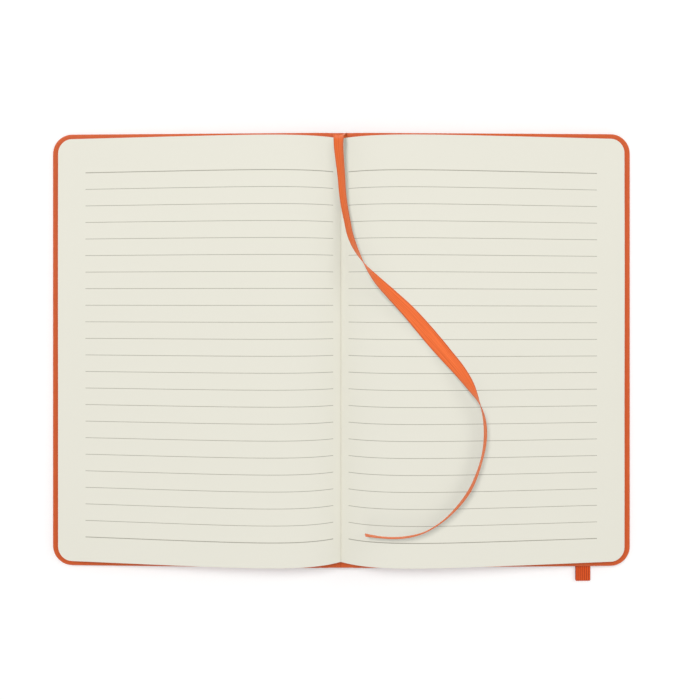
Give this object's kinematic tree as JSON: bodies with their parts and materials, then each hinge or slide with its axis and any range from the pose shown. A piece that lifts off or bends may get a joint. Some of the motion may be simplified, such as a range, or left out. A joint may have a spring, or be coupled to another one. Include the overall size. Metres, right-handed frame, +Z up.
{
  "type": "notebook",
  "caption": "Ruled hardcover notebook lying open at its middle, with soft-touch covers, rounded corners, a ribbon bookmark and an elastic closure band behind the back cover.",
  "frame": {"origin": "on the table under the middle of the box round the open notebook, its slack loop of elastic included", "axes": "+X across the pages from the front cover to the back cover, +Y along the spine to the head, +Z up from the table out of the open pages"},
  "size_m": [0.2812, 0.218, 0.0242],
  "materials": {
    "paper": "matt uncoated ivory paper with pale grey ruled lines",
    "endpaper": "matt uncoated ivory paper",
    "lining_cloth": "thin open cotton lining",
    "grey_board": "raw grey board",
    "cover_skin": "soft-touch coated skin with a fine grain",
    "elastic": "ribbed woven elastic",
    "ribbon": "satin woven ribbon"
  },
  "bodies": {
    "pages": {"text_block": "paper", "spine_lining": "lining_cloth", "spine_card": "grey_board", "spine_cover": "cover_skin", "ribbon_bookmark": "ribbon"},
    "front": {"front_cover": "cover_skin", "front_board": "grey_board", "front_endpaper": "endpaper"},
    "back": {"back_cover": "cover_skin", "back_board": "grey_board", "back_endpaper": "endpaper", "elastic_band": "elastic"}
  },
  "joints": [
    {"name": "front_hinge", "type": "hinge", "parent": "pages", "child": "front", "pos_m": [-0.008, 0, 0.005], "axis": [0, -1, 0], "range_deg": [0, 90]},
    {"name": "back_hinge", "type": "hinge", "parent": "pages", "child": "back", "pos_m": [0.008, 0, 0.005], "axis": [0, 1, 0], "range_deg": [0, 90]}
  ]
}
